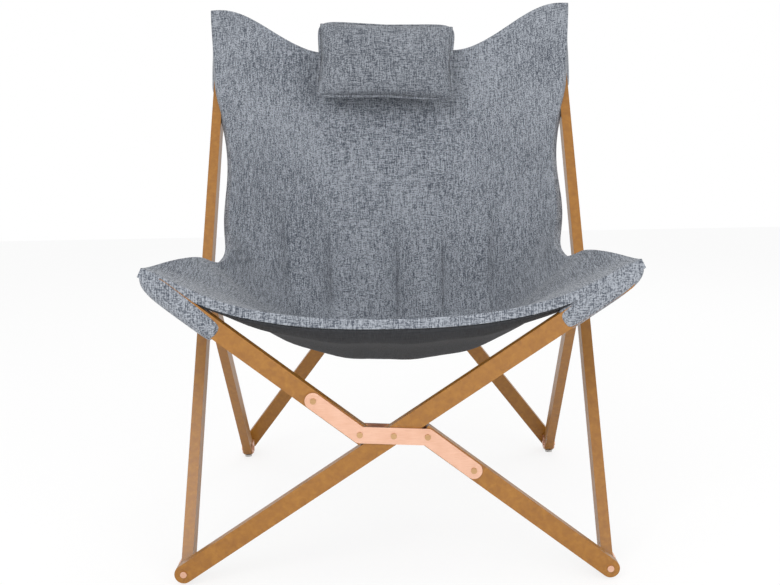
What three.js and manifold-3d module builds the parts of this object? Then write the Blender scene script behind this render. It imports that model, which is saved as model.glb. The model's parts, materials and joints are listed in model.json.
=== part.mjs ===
import * as THREE from 'three';
import { mergeVertices } from 'three/addons/utils/BufferGeometryUtils.js';
import Module from 'manifold-3d';

const wasm = await Module();
wasm.setup();

// Driving dimensions, in millimetres and degrees
const FOOT_SPACING = 640;
const BAR_WIDTH = 28;
const BAR_THICKNESS = 17;
const CLEARANCE = 0.3;
const FRONT_ANGLE = 33.4;
const FRONT_LOWER_REACH = 381;
const FRONT_UPPER_REACH = 405;
const HALF_BAR_START = 32;
const SIDE_ANGLE = 58.2;
const BACK_ANGLE = 52.7;
const BACK_HALF_LENGTH = 528;
const LONG_BAR_OVERHANG = 34;
const GLIDE_HEIGHT = 4;
const GLIDE_RADIUS = 7;
const SHEET_METAL = 2;
const CROSSING_PLATE_THICKNESS = 3;
const CROSSING_PLATE_WIDTH = 25;
const CROSSING_SCREW_NEAR = 41;
const CROSSING_SCREW_FAR = 126;
const PIN_RADIUS = 3;
const PIN_HEAD_RADIUS = 5;
const PIN_HEAD_HEIGHT = 1.8;
const SCREW_RADIUS = 2.5;
const SCREW_HEAD_RADIUS = 4.5;
const SCREW_HEAD_HEIGHT = 1.5;
const HINGE_GAP = 1;
const PANEL_THICKNESS = 13;
const LINING_THICKNESS = 2;
const LINING_DROP = 24;
const PILLOW_WIDTH = 252;
const PILLOW_HEIGHT = 142;
const PILLOW_THICKNESS = 46;
const CUT_OVERRUN = 1;

const radians = THREE.MathUtils.degToRad;
const cosine = (degrees) => Math.cos(radians(degrees));
const sine = (degrees) => Math.sin(radians(degrees));

// Sizes that follow from the driving dimensions
const halfWidth = BAR_WIDTH / 2;
const halfThickness = BAR_THICKNESS / 2;
const halfSpacing = FOOT_SPACING / 2;
const footHeight = GLIDE_HEIGHT + halfWidth;
const halfBarOffset = BAR_WIDTH + 2 * CLEARANCE;
const plateStack = CLEARANCE + CROSSING_PLATE_THICKNESS + SCREW_HEAD_HEIGHT + 2 * CLEARANCE;
const footPinY = halfThickness + plateStack + SHEET_METAL + halfWidth;
const hingeOffset = BAR_WIDTH + HINGE_GAP;
const backTilt = SIDE_ANGLE - BACK_ANGLE;
const legAngle = BACK_ANGLE - backTilt;
const frontPivotHeight = footHeight + FRONT_LOWER_REACH * sine(FRONT_ANGLE);
const halfBarTwist = THREE.MathUtils.radToDeg(Math.asin(halfBarOffset / FRONT_LOWER_REACH));
const halfBarAngle = FRONT_ANGLE + halfBarTwist;

// Points in a side plane are (y, z)
const sidePoint = (from, angle, distance) => new THREE.Vector2(
  from.x + distance * cosine(angle), from.y + distance * sine(angle));
const footPin = new THREE.Vector2(footPinY, footHeight);
const backRise = 2 * BACK_HALF_LENGTH * sine(BACK_ANGLE) * cosine(backTilt);
const topPinHeight = footHeight + backRise;
const topReach = (topPinHeight - footHeight + hingeOffset * cosine(SIDE_ANGLE)) / sine(SIDE_ANGLE);
const hingeReach = topReach - BACK_HALF_LENGTH;
const behindBar = (reach, offset) => sidePoint(
  sidePoint(footPin, SIDE_ANGLE, reach), SIDE_ANGLE - 90, offset);
const legPin = behindBar(hingeReach, hingeOffset);
const topPin = behindBar(topReach, hingeOffset);
const rearPin = sidePoint(legPin, -legAngle, BACK_HALF_LENGTH);

// Placing planes: each maps a drawing's x, y and depth to the chair
const basis = (x, y, z, origin) => new THREE.Matrix4().makeBasis(x, y, z).setPosition(origin);
const frontPlane = (y = 0) => basis(
  new THREE.Vector3(1, 0, 0), new THREE.Vector3(0, 0, 1), new THREE.Vector3(0, -1, 0),
  new THREE.Vector3(0, y, 0));
const sidePlane = (x) => basis(
  new THREE.Vector3(0, 1, 0), new THREE.Vector3(0, 0, 1), new THREE.Vector3(1, 0, 0),
  new THREE.Vector3(x, 0, 0));
const backUp = new THREE.Vector3(0, -sine(backTilt), cosine(backTilt));
const backFacing = new THREE.Vector3(0, -cosine(backTilt), -sine(backTilt));
const backPlane = (offset) => basis(
  new THREE.Vector3(1, 0, 0), backUp, backFacing,
  new THREE.Vector3(0, rearPin.x, rearPin.y).addScaledVector(backFacing, -offset));

// Materials
const finish = (color, roughness, metalness = 0) => new THREE.MeshStandardMaterial(
  { color, roughness, metalness });
const wood = finish(0xa56928, 0.3);
const copper = finish(0xe0ab8c, 0.3, 0.9);
const brass = finish(0xc79a5a, 0.35, 0.9);
const glide = finish(0xb9b9b6, 0.6);
const fabric = finish(0x7f8894, 0.9);
const black = finish(0x17181a, 0.9);

// Solids for cutting
function toSolid(geometry) {
  const bare = geometry.clone();
  bare.deleteAttribute('normal');
  bare.deleteAttribute('uv');
  const merged = mergeVertices(bare, 1e-4);
  return new wasm.Manifold(new wasm.Mesh({
    numProp: 3,
    vertProperties: new Float32Array(merged.attributes.position.array),
    triVerts: new Uint32Array(merged.index.array),
  }));
}

function fromSolid(solid) {
  const mesh = solid.getMesh();
  const geometry = new THREE.BufferGeometry();
  geometry.setAttribute('position', new THREE.BufferAttribute(mesh.vertProperties, 3));
  geometry.setIndex(new THREE.BufferAttribute(mesh.triVerts, 1));
  geometry.computeVertexNormals();
  return geometry;
}

function cut(geometry, tools) {
  return fromSolid(tools.reduce((solid, tool) => solid.subtract(toSolid(tool)), toSolid(geometry)));
}

function join(geometries) {
  const [first, ...rest] = geometries.map(toSolid);
  return fromSolid(rest.reduce((solid, other) => solid.add(other), first));
}

// Drawn shapes
function extruded(shape, thickness, plane, segments = 8) {
  const geometry = new THREE.ExtrudeGeometry(
    shape, { depth: thickness, bevelEnabled: false, curveSegments: segments });
  geometry.translate(0, 0, -thickness / 2);
  return geometry.applyMatrix4(plane);
}

function barShape(from, to, width, roundStart, roundEnd) {
  const along = to.clone().sub(from);
  const length = along.length();
  const angle = Math.atan2(along.y, along.x);
  const half = width / 2;
  const shape = new THREE.Shape();
  shape.moveTo(0, -half);
  shape.lineTo(length, -half);
  if (roundEnd) shape.absarc(length, 0, half, -Math.PI / 2, Math.PI / 2, false);
  shape.lineTo(length, half);
  shape.lineTo(0, half);
  if (roundStart) shape.absarc(0, 0, half, Math.PI / 2, 3 * Math.PI / 2, false);
  const points = shape.extractPoints(8).shape.map((point) => point
    .rotateAround(new THREE.Vector2(), angle).add(from));
  return new THREE.Shape(points);
}

function disc(center, radius, length, plane, depth = 0) {
  const geometry = new THREE.CylinderGeometry(radius, radius, length, 20);
  geometry.rotateX(Math.PI / 2);
  geometry.translate(center.x, center.y, depth);
  return geometry.applyMatrix4(plane);
}

function pin(center, radius, headRadius, headHeight, grip, plane) {
  const shank = grip / 2;
  const profile = [
    [0, -shank - headHeight], [headRadius, -shank - headHeight], [headRadius, -shank],
    [radius, -shank], [radius, shank], [headRadius, shank],
    [headRadius, shank + headHeight], [0, shank + headHeight],
  ].map(([x, y]) => new THREE.Vector2(x, y));
  const geometry = new THREE.LatheGeometry(profile, 20);
  geometry.rotateX(Math.PI / 2);
  geometry.translate(center.x, center.y, 0);
  return geometry.applyMatrix4(plane);
}

const bore = (center, radius, plane) => disc(
  center, radius + CLEARANCE, 4 * BAR_WIDTH + CUT_OVERRUN, plane);

const chair = new THREE.Group();
function piece(name, geometry, material) {
  const mesh = new THREE.Mesh(geometry, material);
  mesh.name = name;
  chair.add(mesh);
}

// Front crossing bars
const frontPivot = new THREE.Vector2(0, frontPivotHeight);
const leftFoot = new THREE.Vector2(-halfSpacing, footHeight);
const rightFoot = new THREE.Vector2(halfSpacing, footHeight);
const front = frontPlane();

function straightFrontBar() {
  const tip = sidePoint(frontPivot, FRONT_ANGLE, FRONT_UPPER_REACH);
  const body = extruded(barShape(leftFoot, tip, BAR_WIDTH, true, true), BAR_THICKNESS, front);
  piece('front_bar_straight', cut(body, [
    bore(leftFoot, PIN_RADIUS, front), bore(frontPivot, PIN_RADIUS, front)]), wood);
}

// A point beside the crossing, along the split bar's own direction
const splitPoint = (along, across) => sidePoint(
  sidePoint(frontPivot, -halfBarAngle, along), 90 - halfBarAngle, across);
const splitHoles = [
  [-CROSSING_SCREW_FAR, -halfBarOffset], [-CROSSING_SCREW_NEAR, -halfBarOffset],
  [CROSSING_SCREW_NEAR, halfBarOffset], [CROSSING_SCREW_FAR, halfBarOffset],
].map(([along, across]) => splitPoint(along, across));

function splitFrontBar() {
  const screwBores = splitHoles.map((hole) => bore(hole, SCREW_RADIUS, front));
  const lower = extruded(
    barShape(splitPoint(HALF_BAR_START, halfBarOffset), rightFoot, BAR_WIDTH, false, true),
    BAR_THICKNESS, front);
  piece('front_bar_lower', cut(lower, [...screwBores, bore(rightFoot, PIN_RADIUS, front)]), wood);
  const upper = extruded(
    barShape(splitPoint(-HALF_BAR_START, -halfBarOffset),
      splitPoint(-FRONT_UPPER_REACH, -halfBarOffset), BAR_WIDTH, false, true),
    BAR_THICKNESS, front);
  piece('front_bar_upper', cut(upper, screwBores), wood);
}

function crossingPlateShape() {
  const spine = [splitHoles[0], splitHoles[1], splitHoles[2], splitHoles[3]];
  return spine.slice(1).map((end, index) => barShape(
    spine[index], end, CROSSING_PLATE_WIDTH, true, true));
}

function crossingPlates() {
  const offset = halfThickness + CLEARANCE + CROSSING_PLATE_THICKNESS / 2;
  const places = { crossing_plate_front: -offset, crossing_plate_back: offset };
  for (const [name, y] of Object.entries(places)) {
    const plane = frontPlane(y);
    const strips = crossingPlateShape().map(
      (shape) => extruded(shape, CROSSING_PLATE_THICKNESS, plane));
    piece(name, cut(join(strips), [
      ...splitHoles.map((hole) => bore(hole, SCREW_RADIUS, front)),
      bore(frontPivot, PIN_RADIUS, front)]), copper);
  }
  const grip = 2 * (offset + CROSSING_PLATE_THICKNESS / 2 + CLEARANCE);
  splitHoles.forEach((hole, index) => piece(`crossing_screw_${index + 1}`, pin(
    hole, SCREW_RADIUS, SCREW_HEAD_RADIUS, SCREW_HEAD_HEIGHT, grip, front), brass));
  piece('crossing_pivot_pin', pin(
    frontPivot, PIN_RADIUS, SCREW_HEAD_RADIUS, SCREW_HEAD_HEIGHT, grip, front), brass);
}

// A bent U of sheet metal: two cheeks round a bar and a web across one of its faces
function bracket(x, center, webAngle, webInner, webHalf, cheekReach) {
  const inner = halfThickness + CLEARANCE;
  const outer = inner + SHEET_METAL;
  const place = sidePlane(x);
  const webFace = sidePoint(center, webAngle, webInner + SHEET_METAL);
  const cheekEnd = sidePoint(center, webAngle + 180, cheekReach);
  const outline = barShape(webFace, cheekEnd, 2 * webHalf, false, true);
  const block = extruded(outline, 2 * outer, place);
  const hollowStart = sidePoint(center, webAngle, webInner);
  const hollowEnd = sidePoint(center, webAngle + 180, cheekReach + 2 * webHalf);
  const hollow = extruded(
    barShape(hollowStart, hollowEnd, 2 * webHalf + 2 * CUT_OVERRUN, false, false), 2 * inner, place);
  return cut(block, [hollow]);
}

// Side frames: long bar, rear leg and their sheet metal
const sides = { left: -halfSpacing, right: halfSpacing };
const topEnd = sidePoint(footPin, SIDE_ANGLE, topReach + LONG_BAR_OVERHANG);
const cheekGrip = 2 * (halfThickness + 2 * CLEARANCE + SHEET_METAL);

function sideFrame(side, x) {
  const place = sidePlane(x);
  const long = extruded(barShape(footPin, topEnd, BAR_WIDTH, true, false), BAR_THICKNESS, place);
  piece(`${side}_long_bar`, cut(long, [bore(footPin, PIN_RADIUS, place)]), wood);
  const leg = extruded(barShape(legPin, rearPin, BAR_WIDTH, true, true), BAR_THICKNESS, place);
  piece(`${side}_rear_leg`, cut(leg, [
    bore(legPin, PIN_RADIUS, place), bore(rearPin, PIN_RADIUS, place)]), wood);
  const webInner = footPinY - halfThickness - CLEARANCE - SHEET_METAL;
  const foot = bracket(x, footPin, 180, webInner, halfWidth - 2 * SHEET_METAL, 0);
  const frontPin = new THREE.Vector2(x, footHeight);
  const neck = BAR_THICKNESS + SHEET_METAL + 2 * CLEARANCE;
  piece(`${side}_foot_bracket`, cut(foot, [
    bore(footPin, PIN_RADIUS, place), bore(frontPin, PIN_RADIUS, front)]), copper);
  piece(`${side}_foot_axle`, pin(
    footPin, PIN_RADIUS, PIN_HEAD_RADIUS, PIN_HEAD_HEIGHT, cheekGrip, place), copper);
  const neckPlane = frontPlane((SHEET_METAL + 2 * CLEARANCE) / 2);
  piece(`${side}_foot_rivet`, pin(
    frontPin, PIN_RADIUS, PIN_HEAD_RADIUS, PIN_HEAD_HEIGHT, neck + CLEARANCE, neckPlane), copper);
  saddle(side, x, 'leg', legPin, hingeReach);
  saddle(side, x, 'top', topPin, topReach);
  glides(side, x);
}

// Clip round the long bar whose cheeks carry a hinge pin behind it
function saddle(side, x, name, center, reach) {
  const place = sidePlane(x);
  const clip = bracket(x, center, SIDE_ANGLE + 90, hingeOffset + halfWidth + CLEARANCE,
    halfWidth - SHEET_METAL, 0);
  piece(`${side}_${name}_clip`, cut(clip, [bore(center, PIN_RADIUS, place)]), copper);
  piece(`${side}_${name}_axle`, pin(
    center, PIN_RADIUS, PIN_HEAD_RADIUS, PIN_HEAD_HEIGHT, cheekGrip, place), copper);
}

function glides(side, x) {
  const disk = (y) => {
    const geometry = new THREE.CylinderGeometry(GLIDE_RADIUS, GLIDE_RADIUS, GLIDE_HEIGHT, 16);
    geometry.rotateX(Math.PI / 2);
    return geometry.translate(x, y, GLIDE_HEIGHT / 2 - CLEARANCE);
  };
  piece(`${side}_front_glide`, disk(footPin.x), glide);
  piece(`${side}_rear_glide`, disk(rearPin.x), glide);
}

// Back crossing bars, one behind the other
const backHeight = 2 * BACK_HALF_LENGTH * sine(BACK_ANGLE);
const backSpan = 2 * BACK_HALF_LENGTH * cosine(BACK_ANGLE) / 2;
const backLayer = halfWidth + 2 * CLEARANCE + SHEET_METAL + CLEARANCE + halfThickness;
const webStart = halfWidth + 2 * CLEARANCE;
const webHalf = halfWidth - SHEET_METAL;
const backCenter = new THREE.Vector2(0, backHeight / 2);

function backBars() {
  const bars = {
    back_bar_front: { from: [backSpan, 0], to: [-backSpan, backHeight], offset: backLayer },
    back_bar_rear: {
      from: [-backSpan, 0], to: [backSpan, backHeight],
      offset: backLayer + BAR_THICKNESS + 2 * CLEARANCE,
    },
  };
  for (const [name, { from, to, offset }] of Object.entries(bars)) {
    const plane = backPlane(offset);
    const shape = barShape(new THREE.Vector2(...from), new THREE.Vector2(...to), BAR_WIDTH, true, true);
    piece(name, cut(extruded(shape, BAR_THICKNESS, plane), [bore(backCenter, PIN_RADIUS, plane)]), wood);
  }
  const middle = backPlane(backLayer + halfThickness + CLEARANCE);
  for (const [side, x] of Object.entries(sides)) {
    const place = sidePlane(x);
    const rear = bracket(x, rearPin, backTilt, webStart, webHalf, 0);
    piece(`${side}_rear_bracket`, cut(rear, [bore(rearPin, PIN_RADIUS, place)]), copper);
    piece(`${side}_rear_axle`, pin(
      rearPin, PIN_RADIUS, PIN_HEAD_RADIUS, PIN_HEAD_HEIGHT, cheekGrip, place), copper);
    const webFront = sidePoint(topPin, backTilt, webStart);
    const webBack = sidePoint(topPin, backTilt, webStart + SHEET_METAL);
    const web = extruded(barShape(webFront, webBack, 2 * webHalf, false, false),
      2 * (halfThickness + CLEARANCE + SHEET_METAL), place);
    const tongue = extruded(barShape(topPin, webBack, BAR_THICKNESS, true, false),
      BAR_THICKNESS, place);
    piece(`${side}_top_link`, cut(join([web, tongue]), [bore(topPin, PIN_RADIUS, place)]), copper);
  }
  piece('back_pivot_pin', pin(backCenter, PIN_RADIUS, PIN_HEAD_RADIUS, PIN_HEAD_HEIGHT,
    2 * (BAR_THICKNESS + 2 * CLEARANCE), middle), copper);
}

// Sling: points across from the middle to the side, along from the front lip to the top
const middleLine = [[0, 394], [110, 352], [240, 300], [350, 272], [423, 302],
  [462, 408], [495, 560], [525, 702], [545, 826]];
const sideLine = [[342, 2, 478], [332, 85, 476], [312, 178, 464], [296, 262, 456],
  [290, 330, 488], [291, 372, 563], [298, 422, 668], [335, 462, 776], [342, 534, 886]];
const curveThrough = (points) => new THREE.CatmullRomCurve3(
  points.map((point) => new THREE.Vector3(...point)), false, 'centripetal');
const middleCurve = curveThrough(middleLine.map(([y, z]) => [0, y, z]));
const sideCurve = curveThrough(sideLine);
const DISH_POWER = 2.4;

function slingPoint(across, along) {
  const middle = middleCurve.getPoint(along);
  const side = sideCurve.getPoint(along);
  const rise = Math.abs(across) ** DISH_POWER;
  return new THREE.Vector3(
    across * side.x,
    middle.y + (side.y - middle.y) * rise,
    middle.z + (side.z - middle.z) * rise);
}

// Closed sheet over a grid of points, thickened along its own normals
function sheet(surface, columns, rows, below, above) {
  const point = (i, j) => surface(i / columns * 2 - 1, j / rows);
  const positions = [];
  for (const offset of [above, below]) {
    for (let j = 0; j <= rows; j += 1) {
      for (let i = 0; i <= columns; i += 1) {
        const acrossStep = point(Math.min(i + 1, columns), j).sub(point(Math.max(i - 1, 0), j));
        const alongStep = point(i, Math.min(j + 1, rows)).sub(point(i, Math.max(j - 1, 0)));
        const normal = acrossStep.cross(alongStep).normalize();
        positions.push(...point(i, j).addScaledVector(normal, offset).toArray());
      }
    }
  }
  const wide = columns + 1;
  const layer = wide * (rows + 1);
  const indices = [];
  const quad = (a, b, c, d) => indices.push(a, b, c, a, c, d);
  for (let j = 0; j < rows; j += 1) {
    for (let i = 0; i < columns; i += 1) {
      const a = j * wide + i;
      quad(a, a + 1, a + wide + 1, a + wide);
      quad(layer + a, layer + a + wide, layer + a + wide + 1, layer + a + 1);
    }
  }
  for (let i = 0; i < columns; i += 1) {
    const last = rows * wide + i;
    quad(i, layer + i, layer + i + 1, i + 1);
    quad(last, last + 1, layer + last + 1, layer + last);
  }
  for (let j = 0; j < rows; j += 1) {
    const a = j * wide;
    const b = a + columns;
    quad(a, a + wide, layer + a + wide, layer + a);
    quad(b, layer + b, layer + b + wide, b + wide);
  }
  const geometry = new THREE.BufferGeometry();
  geometry.setAttribute('position', new THREE.Float32BufferAttribute(positions, 3));
  geometry.setIndex(indices);
  geometry.computeVertexNormals();
  return geometry;
}

function sling() {
  piece('sling_panel', sheet(slingPoint, 20, 32, 0, PANEL_THICKNESS), fabric);
  const liningPoint = (across, along) => {
    const above = slingPoint(across * 0.8, 0.02 + along * 0.3);
    above.z -= LINING_THICKNESS + LINING_DROP * (1 - across * across) + 2 * CLEARANCE;
    return above;
  };
  piece('sling_lining', sheet(liningPoint, 12, 6, -LINING_THICKNESS, 0), black);
}

function pillow() {
  const lean = SIDE_ANGLE + 14;
  const geometry = new THREE.SphereGeometry(1, 24, 16);
  const place = geometry.attributes.position;
  const squared = (value) => Math.sign(value) * Math.abs(value) ** 0.45;
  const settled = (value) => (Math.abs(value) < 1e-6 ? 0 : value);
  for (let index = 0; index < place.count; index += 1) {
    const [x, y, z] = [place.getX(index), place.getY(index), place.getZ(index)].map(settled);
    place.setXYZ(index, squared(x) * PILLOW_WIDTH / 2, -squared(z) * PILLOW_THICKNESS / 2,
      squared(y) * PILLOW_HEIGHT / 2);
  }
  geometry.rotateX(radians(lean - 90));
  geometry.translate(-8, 480, 806);
  piece('head_pillow', fromSolid(toSolid(geometry)), fabric);
}

straightFrontBar();
splitFrontBar();
crossingPlates();
for (const [side, x] of Object.entries(sides)) sideFrame(side, x);
backBars();
sling();
pillow();

// The origin is the middle of the footprint on the floor
const bounds = new THREE.Box3().setFromObject(chair);
chair.position.set(0, -(bounds.min.y + bounds.max.y) / 2, -bounds.min.z);

export default chair;
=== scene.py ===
import json
import math

import bmesh
import bpy
from mathutils import Matrix, Vector


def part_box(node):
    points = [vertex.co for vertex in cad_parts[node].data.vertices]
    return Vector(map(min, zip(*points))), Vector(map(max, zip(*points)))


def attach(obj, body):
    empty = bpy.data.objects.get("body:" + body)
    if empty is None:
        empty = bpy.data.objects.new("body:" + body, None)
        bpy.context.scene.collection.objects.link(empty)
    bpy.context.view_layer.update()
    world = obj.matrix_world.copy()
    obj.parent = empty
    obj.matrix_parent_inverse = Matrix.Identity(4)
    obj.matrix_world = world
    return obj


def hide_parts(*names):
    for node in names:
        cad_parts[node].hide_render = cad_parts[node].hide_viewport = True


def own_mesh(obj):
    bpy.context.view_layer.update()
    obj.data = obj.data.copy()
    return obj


bl_info = {
    "name": "Butterfly Sling Chair",
    "version": (1, 0, 0),
    "blender": (4, 5, 0),
    "location": "View3D > Sidebar > Sling Chair",
    "description": "Padded sling, head pillow, finishes and stage for a folding butterfly chair",
    "category": "Object",
}

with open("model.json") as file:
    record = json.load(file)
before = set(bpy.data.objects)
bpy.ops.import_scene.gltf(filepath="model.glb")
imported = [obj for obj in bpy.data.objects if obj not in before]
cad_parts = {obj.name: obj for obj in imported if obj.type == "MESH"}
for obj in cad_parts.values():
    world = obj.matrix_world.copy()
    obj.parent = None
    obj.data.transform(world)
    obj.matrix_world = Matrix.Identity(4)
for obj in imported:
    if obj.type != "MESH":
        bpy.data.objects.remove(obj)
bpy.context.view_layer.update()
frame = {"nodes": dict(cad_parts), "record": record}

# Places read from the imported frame, in metres
long_bar_low, long_bar_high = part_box("right_long_bar")
front_bar_low, front_bar_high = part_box("front_bar_straight")
FOOT_X = (long_bar_low[0] + long_bar_high[0]) / 2
FRONT_Y = (front_bar_low[1] + front_bar_high[1]) / 2
BAR_HALF_WIDTH = 0.014

# Slopes of the long bars, the straight front bar and the split front bar
SIDE_SLOPE = math.radians(58.2)
FRONT_SLOPE = math.radians(33.4)
SPLIT_SLOPE = math.radians(37.7)

# The sling's lines, in metres from the front bars' plane: lip, seat, bend, back, top
MIDDLE_LINE = [(0, -0.008, 0.387), (0, 0.11, 0.352), (0, 0.24, 0.300), (0, 0.35, 0.272),
               (0, 0.423, 0.302), (0, 0.462, 0.408), (0, 0.495, 0.560), (0, 0.525, 0.702),
               (0, 0.546, 0.826)]
SIDE_LINE = [(0.368, -0.008, 0.468), (0.349, 0.085, 0.474), (0.321, 0.178, 0.468),
             (0.299, 0.262, 0.458), (0.295, 0.330, 0.490), (0.298, 0.372, 0.565),
             (0.303, 0.426, 0.668), (0.328, 0.480, 0.776), (0.339, 0.556, 0.905)]
SLING_COLUMNS, SLING_ROWS = 64, 110
SLING_HALF_WIDTH, SLING_LENGTH = 0.33, 1.06
DISH_POWER = 2.6
TOP_BLEND_POWER = 5
TOP_FLAT_SHARE, TOP_CORNER_SHARE = 0.36, 0.96
SLOPE_STEP = 0.01

# Creases above the seat: where each lies across, its half width and its depth
CREASES = [(-0.40, 0.045, 0.8), (0.02, 0.028, 1.0), (0.31, 0.04, 0.9), (-0.14, 0.07, -0.5),
           (0.17, 0.06, -0.5), (0.60, 0.05, 0.7), (-0.66, 0.06, 0.7), (-0.27, 0.05, -0.3)]
CREASE_HEIGHT, CREASE_REACH = 0.60, 0.085
CORNER_FOLD_DEPTH, CORNER_FOLD_START = 0.5, 0.55
SOFT_WAVE_DEPTH = 0.35

# Pockets: how far along the bar, half height, half depth and lift of each ring
POUCH_SIDES = 20
WING_POUCH = [(-0.108, 0.0165, 0.0120, 0.002), (-0.095, 0.0175, 0.0140, 0.002),
              (-0.050, 0.0185, 0.0150, 0.003), (-0.010, 0.0195, 0.0150, 0.004),
              (0.014, 0.0175, 0.0135, 0.005), (0.027, 0.0120, 0.0100, 0.006),
              (0.033, 0.0050, 0.0050, 0.007)]
TOP_POUCH = [(-0.165, 0.0130, 0.0190, 0.000), (-0.150, 0.0150, 0.0210, 0.001),
             (-0.10, 0.0190, 0.0330, 0.010), (-0.05, 0.0210, 0.0400, 0.016),
             (-0.012, 0.0220, 0.0330, 0.012), (0.006, 0.0180, 0.0220, 0.006),
             (0.012, 0.0090, 0.0100, 0.004)]
TOP_POUCH_DROP = 0.022

# Lining: the part of the sling that it follows, its cloth and how far it hangs below
LINING_WIDTH_SHARE, LINING_LENGTH_SHARE, LINING_START = 0.84, 0.22, 0.004
LINING_THICKNESS, LINING_GAP, LINING_SAG, LINING_RIPPLE = 0.0016, 0.0012, 0.018, 0.0012

# Pillow: how far its sides draw in, how square its seam is, and its corded edge
PILLOW_CROWN_POWER = 3.2
PILLOW_SIDE_PULL, PILLOW_END_PULL = 0.045, 0.06
PILLOW_DIMPLE = 0.05
PILLOW_SHADE = 0.82
WELT_RADIUS, WELT_SIDES, WELT_STEPS = 0.0028, 6, 120
WELT_SQUARENESS = 0.22
PILLOW_PLACE = (Matrix.Translation((-0.008, FRONT_Y + 0.472, 0.806))
                @ Matrix.Rotation(math.radians(2.6), 4, "Y")
                @ Matrix.Rotation(math.radians(-14), 4, "X"))

# Stage: lamps by name, place, watts and size, then the sky, the floor and the camera
LAMPS = [("key", (-1.0, -2.6, 1.9), 34, 1.6), ("fill", (1.6, -2.6, 1.2), 26, 2.0),
         ("rim", (0.6, 2.2, 2.6), 14, 1.8)]
LAMP_AIM = Vector((0, 0, 0.45))
SKY_LIGHT, SKY_SEEN = 0.78, 1.0
FLOOR_GLOW_SHARE = 0.80
FLOOR_HALF_WIDTH = 6.0
SENSOR_WIDTH = 36
CAMERA_PLACE = (0.0196, FRONT_Y - 1.509, 0.649)
CAMERA_PITCH, CAMERA_HEADING, CAMERA_LEAN = 0.1380, 0.0140, 0.020


# Settings a user may change

class SlingSettings(bpy.types.PropertyGroup):
    thickness: bpy.props.FloatProperty(
        name="Padding", description="Thickness of the padded sling", default=0.015,
        min=0.004, max=0.03, unit="LENGTH")
    wrinkle: bpy.props.FloatProperty(
        name="Creases", description="Depth of the creases above the seat", default=0.019,
        min=0.0, max=0.03, unit="LENGTH")
    pale: bpy.props.FloatVectorProperty(
        name="Pale yarn", description="Colour of the pale yarn", subtype="COLOR",
        default=(0.335, 0.36, 0.40), size=3)
    dark: bpy.props.FloatVectorProperty(
        name="Dark yarn", description="Colour of the dark yarn", subtype="COLOR",
        default=(0.046, 0.056, 0.076), size=3)


class PillowSettings(bpy.types.PropertyGroup):
    width: bpy.props.FloatProperty(
        name="Width", description="Width of the pillow", default=0.252, unit="LENGTH")
    height: bpy.props.FloatProperty(
        name="Height", description="Height of the pillow", default=0.142, unit="LENGTH")
    depth: bpy.props.FloatProperty(
        name="Depth", description="Thickness of the pillow", default=0.05, unit="LENGTH")


class StageSettings(bpy.types.PropertyGroup):
    backdrop: bpy.props.FloatVectorProperty(
        name="Backdrop", description="Colour of the floor", subtype="COLOR",
        default=(0.98, 0.98, 0.98), size=3)
    focal: bpy.props.FloatProperty(
        name="Focal length", description="Camera focal length in millimetres", default=48.46,
        unit="CAMERA")


# Shader maths

class Wire:
    """A shader socket that ordinary Python operators work on."""

    def __init__(self, shading, socket):
        self.shading = shading
        self.socket = socket

    def combine(self, operation, other):
        return self.shading.node("ShaderNodeMath", {0: self, 1: other}, operation=operation)

    def __add__(self, other):
        return self.combine("ADD", other)

    __radd__ = __add__

    def __mul__(self, other):
        return self.combine("MULTIPLY", other)

    __rmul__ = __mul__

    def larger(self, other):
        return self.combine("MAXIMUM", other)


class Shading:
    """A node tree under construction."""

    def __init__(self, tree):
        self.tree = tree

    def node(self, kind, sockets=None, output=0, stops=None, **settings):
        """Adds a node: its settings and ramp stops first, then values or links."""
        made = self.tree.nodes.new(kind)
        for key, value in settings.items():
            setattr(made, key, value)
        if stops:
            ramp = made.color_ramp.elements
            for index, (position, color) in ((0, stops[0]), (1, stops[-1])):
                ramp[index].position = position
                ramp[index].color = (*color, 1)
            for position, color in stops[1:-1]:
                ramp.new(position).color = (*color, 1)
        for key, value in (sockets or {}).items():
            self.plug(made.inputs[key], value)
        return Wire(self, made.outputs[output])

    def plug(self, socket, value):
        if isinstance(value, Wire):
            self.tree.links.new(value.socket, socket)
        else:
            socket.default_value = value


class Finish(Shading):
    """A material under construction."""

    def __init__(self, name, **values):
        self.material = bpy.data.materials.new(name)
        self.material.use_nodes = True
        super().__init__(self.material.node_tree)
        self.surface = self.tree.nodes["Principled BSDF"]
        for key, value in values.items():
            self.feed(key.replace("_", " "), value)

    def feed(self, key, value):
        self.plug(self.surface.inputs[key], value)

    def noise(self, stretch, **sockets):
        """Noise on Object coordinates, with its cycles to the metre along each axis."""
        coordinates = self.node("ShaderNodeTexCoord", output="Object")
        place = self.node("ShaderNodeMapping", {"Vector": coordinates, "Scale": stretch})
        return self.node("ShaderNodeTexNoise", {"Vector": place, "Scale": 1.0, **sockets})

    def ramp(self, mask, *stops):
        return self.node("ShaderNodeValToRGB", {"Fac": mask}, stops=stops)

    def bump(self, height, strength, distance):
        self.feed("Normal", self.node("ShaderNodeBump", {
            "Height": height, "Strength": strength, "Distance": distance}))


# Finishes

def linen(name, pale, dark):
    """Marled linen-look cloth: warp and weft yarns that each vary along their run."""
    cloth = Finish(name, Roughness=0.92, Sheen_Weight=0.15)
    warp = cloth.noise((1100, 60, 60), Detail=2.0, Roughness=0.6)
    weft = cloth.noise((60, 1100, 1100), Detail=2.0, Roughness=0.6)
    speck = cloth.noise((420, 420, 420), Detail=1.0)
    broad = cloth.noise((9, 9, 9), Detail=3.0)
    marl = warp * 0.42 + weft * 0.42 + speck * 0.3 + broad * 0.08
    middle = tuple((light + deep) / 2.3 for light, deep in zip(pale, dark))
    cloth.feed("Base Color", cloth.ramp(marl, (0.53, dark), (0.60, middle), (0.67, pale)))
    cloth.bump(warp + weft, 0.5, 0.0012)
    return cloth.material


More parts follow.
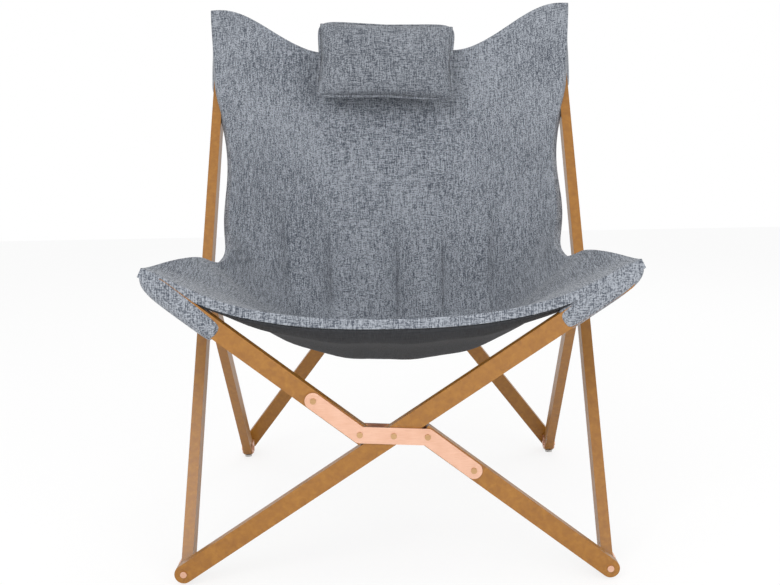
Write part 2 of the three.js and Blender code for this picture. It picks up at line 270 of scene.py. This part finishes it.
def lacquered_wood():
    """Brown lacquered hardwood with a cloudy grain and fine pores."""
    timber = Finish("lacquered_wood", Coat_Weight=0.2, Coat_Roughness=0.2)
    grain = timber.noise((110, 110, 110), Detail=5.0, Distortion=0.6)
    pores = timber.noise((240, 900, 240), Detail=2.0)
    timber.feed("Base Color", timber.ramp(
        grain * 0.8 + pores * 0.2, (0.30, (0.235, 0.090, 0.007)),
        (0.52, (0.285, 0.115, 0.009)), (0.75, (0.34, 0.145, 0.014))))
    timber.feed("Roughness", grain * 0.16 + 0.34)
    timber.bump(pores, 0.12, 0.0004)
    return timber.material


def brushed_metal(name, low, high, roughness):
    """Plated sheet metal with fine brushing."""
    metal = Finish(name, Metallic=0.85)
    brushing = metal.noise((60, 60, 1400), Detail=2.0)
    cloudy = metal.noise((40, 40, 40))
    metal.feed("Base Color", metal.ramp(
        brushing * 0.5 + cloudy * 0.5, (0.3, low), (0.7, high)))
    metal.feed("Roughness", cloudy * 0.16 + (roughness - 0.08))
    metal.bump(brushing, 0.1, 0.0002)
    return metal.material


def moulded_plastic():
    """Grey plastic of the glides, with a fine grain."""
    plastic = Finish("glide_plastic", Roughness=0.55)
    grain = plastic.noise((600, 600, 600))
    plastic.feed("Base Color", plastic.ramp(
        grain, (0.3, (0.42, 0.42, 0.41)), (0.7, (0.55, 0.55, 0.53))))
    plastic.bump(grain, 0.2, 0.0003)
    return plastic.material


def black_lining():
    """Thin black cloth with an open weave."""
    cloth = Finish("black_lining", Roughness=0.85)
    warp = cloth.noise((700, 60, 60), Detail=2.0)
    weft = cloth.noise((60, 700, 700), Detail=2.0)
    cloth.feed("Base Color", cloth.ramp(
        warp * 0.5 + weft * 0.5, (0.35, (0.006, 0.007, 0.009)),
        (0.65, (0.028, 0.030, 0.035))))
    cloth.bump(warp + weft, 0.4, 0.001)
    return cloth.material


def coat(piece, material):
    piece.data.materials.clear()
    piece.data.materials.append(material)


# Mesh helpers

def finished(name, mesh, material, smooth=True):
    """Turns a bmesh into an object at the origin."""
    bmesh.ops.recalc_face_normals(mesh, faces=mesh.faces)
    data = bpy.data.meshes.new(name)
    mesh.to_mesh(data)
    mesh.free()
    piece = bpy.data.objects.new(name, data)
    bpy.context.scene.collection.objects.link(piece)
    for face in data.polygons:
        face.use_smooth = smooth
    coat(piece, material)
    return piece


def modifier(piece, kind, **settings):
    made = piece.modifiers.new(kind.title(), kind)
    for key, value in settings.items():
        setattr(made, key, value)


def apply_modifiers(piece):
    graph = bpy.context.evaluated_depsgraph_get()
    data = bpy.data.meshes.new_from_object(piece.evaluated_get(graph), depsgraph=graph)
    piece.modifiers.clear()
    piece.data = data


def lay_out(mesh, flat):
    """Gives each corner its UV, which flat works out from the corner's place."""
    coordinates = mesh.loops.layers.uv.verify()
    for face in mesh.faces:
        for loop in face.loops:
            loop[coordinates].uv = flat(loop.vert.co)


def add_ring(mesh, center, first, second, sides):
    """Adds a closed ring on two half axes, and returns its edges in order."""
    axes = Matrix((-second, first, first.cross(second))).transposed().to_4x4()
    made = bmesh.ops.create_circle(mesh, cap_ends=False, segments=sides, radius=1.0,
                                   matrix=Matrix.Translation(center) @ axes)
    return list(dict.fromkeys(edge for corner in made["verts"] for edge in corner.link_edges))


def skin(mesh, rings, closed=False):
    """Skins a run of rings, which goes round to its start or has its ends capped."""
    following = rings[1:] + (rings[:1] if closed else [])
    for lower, upper in zip(rings, following):
        bmesh.ops.bridge_loops(mesh, edges=lower + upper)
    if not closed:
        for end in (rings[0], rings[-1]):
            bmesh.ops.contextual_create(mesh, geom=end)


def through(points, share):
    """A smooth curve through points, at a share of its length in steps."""
    last = len(points) - 1
    spot = min(max(share * last, 0.0), last - 1e-6)
    index = int(spot)
    blend = spot - index
    p0, p1, p2, p3 = (Vector(points[min(max(index + step, 0), last)]) for step in (-1, 0, 1, 2))
    return 0.5 * (2 * p1 + (p2 - p0) * blend + (2 * p0 - 5 * p1 + 4 * p2 - p3) * blend ** 2
                  + (3 * p1 - p0 - 3 * p2 + p3) * blend ** 3)


# Soft goods

def hang(piece):
    """Hangs a cloth piece on the frame, parented to the left frame's body, with a mesh of its
    own.
    """
    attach(piece, "left_frame")
    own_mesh(piece)


def crease(across, along):
    """Creases that run up from the bend of the seat, and soft folds at the corners."""
    height = math.exp(-((along - CREASE_HEIGHT) / CREASE_REACH) ** 2)
    total = sum(depth * math.exp(-((across - middle) / width) ** 2)
                for middle, width, depth in CREASES)
    corner = CORNER_FOLD_DEPTH * math.sin(26 * along + 9 * abs(across)) * max(
        abs(across) - CORNER_FOLD_START, 0.0)
    broad = SOFT_WAVE_DEPTH * math.sin(5.2 * across + 2.0) * math.sin(7 * along)
    return -total * height + corner + broad * height


def sling_point(across, along):
    """A place on the sling: -1 to 1 across it, and 0 to 1 from its lip to its top."""
    middle = through(MIDDLE_LINE, along)
    side = through(SIDE_LINE, along)
    spread = (abs(across) - TOP_FLAT_SHARE) / (TOP_CORNER_SHARE - TOP_FLAT_SHARE)
    spread = min(max(spread, 0.0), 1.0)
    top_rise = spread * spread * (3 - 2 * spread)
    top_share = along ** TOP_BLEND_POWER
    rise = abs(across) ** DISH_POWER * (1 - top_share) + top_rise * top_share
    point = middle.lerp(side, rise)
    point.x = across * side.x
    point.y += FRONT_Y
    return point


def sling_normal(across, along):
    """The way that the sling faces at a place."""
    ahead = sling_point(across, min(along + SLOPE_STEP, 1.0)) - sling_point(
        across, max(along - SLOPE_STEP, 0.0))
    aside = sling_point(min(across + SLOPE_STEP, 1.0), along) - sling_point(
        max(across - SLOPE_STEP, -1.0), along)
    return aside.cross(ahead).normalized()


def sling_cover(settings, material):
    """The padded panel, from the lip between the wings to the top corners."""
    mesh = bmesh.new()
    bmesh.ops.create_grid(
        mesh, x_segments=SLING_COLUMNS, y_segments=SLING_ROWS, size=1.0, calc_uvs=True)
    lay_out(mesh, lambda spot: (
        spot.x * SLING_HALF_WIDTH, (spot.y + 1) / 2 * SLING_LENGTH))
    for vertex in mesh.verts:
        across, along = vertex.co.x, (vertex.co.y + 1) / 2
        vertex.co = sling_point(across, along) + sling_normal(across, along) * crease(
            across, along) * settings.wrinkle
    panel = finished("sling_cover", mesh, material)
    modifier(panel, "SOLIDIFY", thickness=settings.thickness, offset=1.0)
    modifier(panel, "BEVEL", width=0.005, segments=3, limit_method="ANGLE",
             angle_limit=math.radians(50))
    modifier(panel, "SUBSURF", levels=1, render_levels=1)
    apply_modifiers(panel)
    return panel


def pouch(name, stations, material):
    """A closed pocket through rings, each a centre and two half axes."""
    mesh = bmesh.new()
    skin(mesh, [add_ring(mesh, *station, POUCH_SIDES) for station in stations])
    lay_out(mesh, lambda spot: (spot.x + spot.y * 0.7, spot.z))
    piece = finished(name, mesh, material)
    modifier(piece, "SUBSURF", levels=2, render_levels=2)
    return piece


def side_name(side):
    return "right" if side > 0 else "left"


def wing_pouch(side, slope, offset, material):
    """Pocket over a front bar's tip, hung from the sling's front edge."""
    direction = Vector((side * math.cos(slope), 0, math.sin(slope)))
    upward = Vector((-side * math.sin(slope), 0, math.cos(slope)))
    tip = Vector((side * (front_bar_high[0] - BAR_HALF_WIDTH), FRONT_Y,
                  front_bar_high[2] - BAR_HALF_WIDTH))
    return pouch(f"wing_pouch_{side_name(side)}", [
        (tip + direction * along + upward * (lift + offset),
         upward * tall, Vector((0, 1, 0)) * deep)
        for along, tall, deep, lift in WING_POUCH], material)


def top_pouch(side, material):
    """Pocket over a long bar's top end, with room for the clip behind it."""
    direction = Vector((0, math.cos(SIDE_SLOPE), math.sin(SIDE_SLOPE)))
    behind = Vector((0, math.sin(SIDE_SLOPE), -math.cos(SIDE_SLOPE)))
    top = Vector((side * FOOT_X, long_bar_high[1], long_bar_high[2]))
    top -= behind * BAR_HALF_WIDTH
    top.z -= TOP_POUCH_DROP
    return pouch(f"top_pouch_{side_name(side)}", [
        (top + direction * along + behind * shift, Vector((1, 0, 0)) * wide, behind * deep)
        for along, wide, deep, shift in TOP_POUCH], material)


def seam(x, y, settings):
    """Where a point of the square that the pillow starts from goes, across and up."""
    return (x * (1 - PILLOW_SIDE_PULL * (1 - abs(y)) * x ** 2) * settings.width / 2,
            y * (1 - PILLOW_END_PULL * (1 - abs(x)) * y ** 2) * settings.height / 2)


def pillow_body(settings, material):
    """Two faces of cloth, crowned and drawn in along the seam."""
    mesh = bmesh.new()
    bmesh.ops.create_grid(mesh, x_segments=36, y_segments=22, size=1.0, calc_uvs=True)
    lay_out(mesh, lambda spot: (spot.x * settings.width / 2, spot.y * settings.height / 2))
    copied = bmesh.ops.duplicate(
        mesh, geom=list(mesh.verts) + list(mesh.edges) + list(mesh.faces))
    rear = {item for item in copied["geom"] if isinstance(item, bmesh.types.BMVert)}
    for vertex in mesh.verts:
        x, y = vertex.co.x, vertex.co.y
        crown = ((1 - abs(x) ** PILLOW_CROWN_POWER) * (1 - abs(y) ** PILLOW_CROWN_POWER)) ** 0.5
        dimple = PILLOW_DIMPLE * math.sin(9 * x + 2) * math.sin(6 * y) * crown
        facing = 1 if vertex in rear else -1
        across, up = seam(x, y, settings)
        vertex.co = Vector((across, facing * (crown + dimple) * settings.depth / 2, up))
    bmesh.ops.remove_doubles(mesh, verts=mesh.verts, dist=1e-5)
    bmesh.ops.transform(mesh, matrix=PILLOW_PLACE, verts=mesh.verts)
    pillow = finished("pillow", mesh, material)
    modifier(pillow, "SUBSURF", levels=1, render_levels=1)
    return pillow


def pillow_welt(settings, material):
    """Corded edge that runs round the pillow's seam."""
    def squared(value):
        return math.copysign(abs(value) ** WELT_SQUARENESS, value)

    centers = []
    for step in range(WELT_STEPS):
        turn = 2 * math.pi * step / WELT_STEPS
        across, up = seam(squared(math.cos(turn)), squared(math.sin(turn)), settings)
        centers.append(Vector((across, 0, up)))
    mesh = bmesh.new()
    outward = Vector((0, 1, 0))
    rings = []
    for index, center in enumerate(centers):
        ahead = (centers[(index + 1) % WELT_STEPS] - centers[index - 1]).normalized()
        aside = ahead.cross(outward).normalized()
        rings.append(add_ring(
            mesh, center, aside * WELT_RADIUS, outward * WELT_RADIUS, WELT_SIDES))
    skin(mesh, rings, closed=True)
    lay_out(mesh, lambda spot: (spot.x, spot.z))
    bmesh.ops.transform(mesh, matrix=PILLOW_PLACE, verts=mesh.verts)
    return finished("pillow_welt", mesh, material)


# Operators

class SetStage(bpy.types.Operator):
    """Pale floor and backdrop, soft lamps and the camera"""
    bl_idname = "chair.set_stage"
    bl_label = "Set the stage"

    def execute(self, context):
        settings = context.scene.stage_settings
        self.lay_floor(settings)
        self.light_sky(context.scene)
        for lamp in LAMPS:
            self.hang_lamp(context.scene, *lamp)
        self.place_camera(context.scene, settings)
        context.scene.view_settings.view_transform = "Standard"
        return {"FINISHED"}

    def lay_floor(self, settings):
        """A floor that is nearly white to the camera, and keeps the shadow."""
        mesh = bmesh.new()
        bmesh.ops.create_grid(mesh, x_segments=1, y_segments=1, size=FLOOR_HALF_WIDTH)
        pale = Finish("pale_floor", Roughness=0.9, Base_Color=(*settings.backdrop, 1))
        glow = pale.node("ShaderNodeEmission", {"Color": (1, 1, 1, 1), "Strength": 1.0})
        seen = pale.node("ShaderNodeLightPath", output="Is Camera Ray")
        mixed = pale.node("ShaderNodeMixShader", {
            "Fac": seen * FLOOR_GLOW_SHARE, 1: Wire(pale, pale.surface.outputs[0]), 2: glow})
        pale.plug(pale.tree.nodes["Material Output"].inputs["Surface"], mixed)
        finished("floor", mesh, pale.material, smooth=False)

    def light_sky(self, scene):
        """A sky that is white where it is seen, and lights the chair more softly."""
        scene.world = bpy.data.worlds.new("studio")
        scene.world.use_nodes = True
        sky = Shading(scene.world.node_tree)
        seen = sky.node("ShaderNodeLightPath", output="Is Camera Ray")
        shining = sky.node("ShaderNodeLightPath", output="Is Glossy Ray")
        background = sky.tree.nodes["Background"].inputs
        background["Color"].default_value = (1, 1, 1, 1)
        sky.plug(background["Strength"],
                 seen.larger(shining) * (SKY_SEEN - SKY_LIGHT) + SKY_LIGHT)

    def hang_lamp(self, scene, name, place, power, size):
        data = bpy.data.lights.new(name, "AREA")
        data.energy = power
        data.size = size
        lamp = bpy.data.objects.new(name, data)
        lamp.location = place
        lamp.rotation_euler = (LAMP_AIM - Vector(place)).to_track_quat("-Z", "Y").to_euler()
        scene.collection.objects.link(lamp)

    def place_camera(self, scene, settings):
        data = bpy.data.cameras.new("camera")
        data.lens = settings.focal
        data.sensor_width = SENSOR_WIDTH
        data.sensor_fit = "HORIZONTAL"
        camera = bpy.data.objects.new("camera", data)
        camera.matrix_world = (Matrix.Translation(CAMERA_PLACE)
                               @ Matrix.Rotation(CAMERA_HEADING, 4, "Z")
                               @ Matrix.Rotation(math.pi / 2 - CAMERA_PITCH, 4, "X")
                               @ Matrix.Rotation(-CAMERA_LEAN, 4, "Z"))
        scene.collection.objects.link(camera)
        scene.camera = camera


class MakeSling(bpy.types.Operator):
    """Padded sling with its wing and top pockets"""
    bl_idname = "chair.make_sling"
    bl_label = "Make the sling"

    def execute(self, context):
        settings = context.scene.sling_settings
        cloth = linen("sling_linen", settings.pale, settings.dark)
        panel = sling_cover(settings, cloth)
        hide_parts("sling_panel")
        pieces = [panel]
        for side, slope, offset in ((-1, SPLIT_SLOPE, -0.004), (1, FRONT_SLOPE, -0.002)):
            pieces.append(wing_pouch(side, slope, offset, cloth))
            pieces.append(top_pouch(side, cloth))
        for piece in pieces:
            hang(piece)
        return {"FINISHED"}


class MakeLining(bpy.types.Operator):
    """Black lining that hangs under the seat"""
    bl_idname = "chair.make_lining"
    bl_label = "Make the lining"

    def execute(self, context):
        mesh = bmesh.new()
        bmesh.ops.create_grid(mesh, x_segments=40, y_segments=16, size=1.0, calc_uvs=True)
        for vertex in mesh.verts:
            across, along = vertex.co.x, (vertex.co.y + 1) / 2
            point = sling_point(across * LINING_WIDTH_SHARE,
                                LINING_START + along * LINING_LENGTH_SHARE)
            loose = min(along * 5, 1.0)
            sag = LINING_SAG * (1 - across * across) * loose * (1 - 0.4 * along)
            point.z -= LINING_GAP + sag + LINING_RIPPLE * math.sin(17 * across) * loose
            vertex.co = point
        lining = finished("seat_lining", mesh, black_lining())
        modifier(lining, "SOLIDIFY", thickness=LINING_THICKNESS, offset=0.0)
        apply_modifiers(lining)
        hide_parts("sling_lining")
        hang(lining)
        return {"FINISHED"}


class MakePillow(bpy.types.Operator):
    """Small head pillow with a welted edge"""
    bl_idname = "chair.make_pillow"
    bl_label = "Make the pillow"

    def execute(self, context):
        settings = context.scene.pillow_settings
        sling = context.scene.sling_settings
        cloth = linen("pillow_linen", Vector(sling.pale) * PILLOW_SHADE,
                      Vector(sling.dark) * PILLOW_SHADE)
        pillow = pillow_body(settings, cloth)
        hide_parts("head_pillow")
        for piece in (pillow, pillow_welt(settings, cloth)):
            hang(piece)
        return {"FINISHED"}


class FinishFrame(bpy.types.Operator):
    """Wood, copper, brass and plastic on the frame"""
    bl_idname = "chair.finish_frame"
    bl_label = "Finish the frame"

    def execute(self, context):
        looks = {
            "wood": lacquered_wood(),
            "copper": brushed_metal(
                "rose_copper", (0.66, 0.37, 0.25), (0.79, 0.50, 0.37), 0.32),
            "brass": brushed_metal(
                "brass_heads", (0.42, 0.24, 0.11), (0.60, 0.38, 0.20), 0.32),
            "glide": moulded_plastic(),
        }
        for row in frame["record"]["subparts"]:
            if row["material_slot"] in looks:
                coat(frame["nodes"][row["node"]], looks[row["material_slot"]])
        return {"FINISHED"}


class ChairPanel(bpy.types.Panel):
    bl_idname = "VIEW3D_PT_sling_chair"
    bl_label = "Sling Chair"
    bl_space_type = "VIEW_3D"
    bl_region_type = "UI"
    bl_category = "Sling Chair"

    def draw(self, context):
        for operator in OPERATORS:
            self.layout.operator(operator.bl_idname)


OPERATORS = (SetStage, MakeSling, MakeLining, MakePillow, FinishFrame)
GROUPS = {"sling_settings": SlingSettings, "pillow_settings": PillowSettings,
          "stage_settings": StageSettings}


def register():
    for group in GROUPS.values():
        bpy.utils.register_class(group)
    for name, group in GROUPS.items():
        setattr(bpy.types.Scene, name, bpy.props.PointerProperty(type=group))
    for operator in OPERATORS:
        bpy.utils.register_class(operator)
    bpy.utils.register_class(ChairPanel)


def unregister():
    bpy.utils.unregister_class(ChairPanel)
    for operator in reversed(OPERATORS):
        bpy.utils.unregister_class(operator)
    for name, group in GROUPS.items():
        delattr(bpy.types.Scene, name)
        bpy.utils.unregister_class(group)


def main():
    register()
    bpy.ops.chair.set_stage()
    bpy.ops.chair.make_sling()
    bpy.ops.chair.make_lining()
    bpy.ops.chair.make_pillow()
    bpy.ops.chair.finish_frame()


if __name__ == "__main__":
    main()
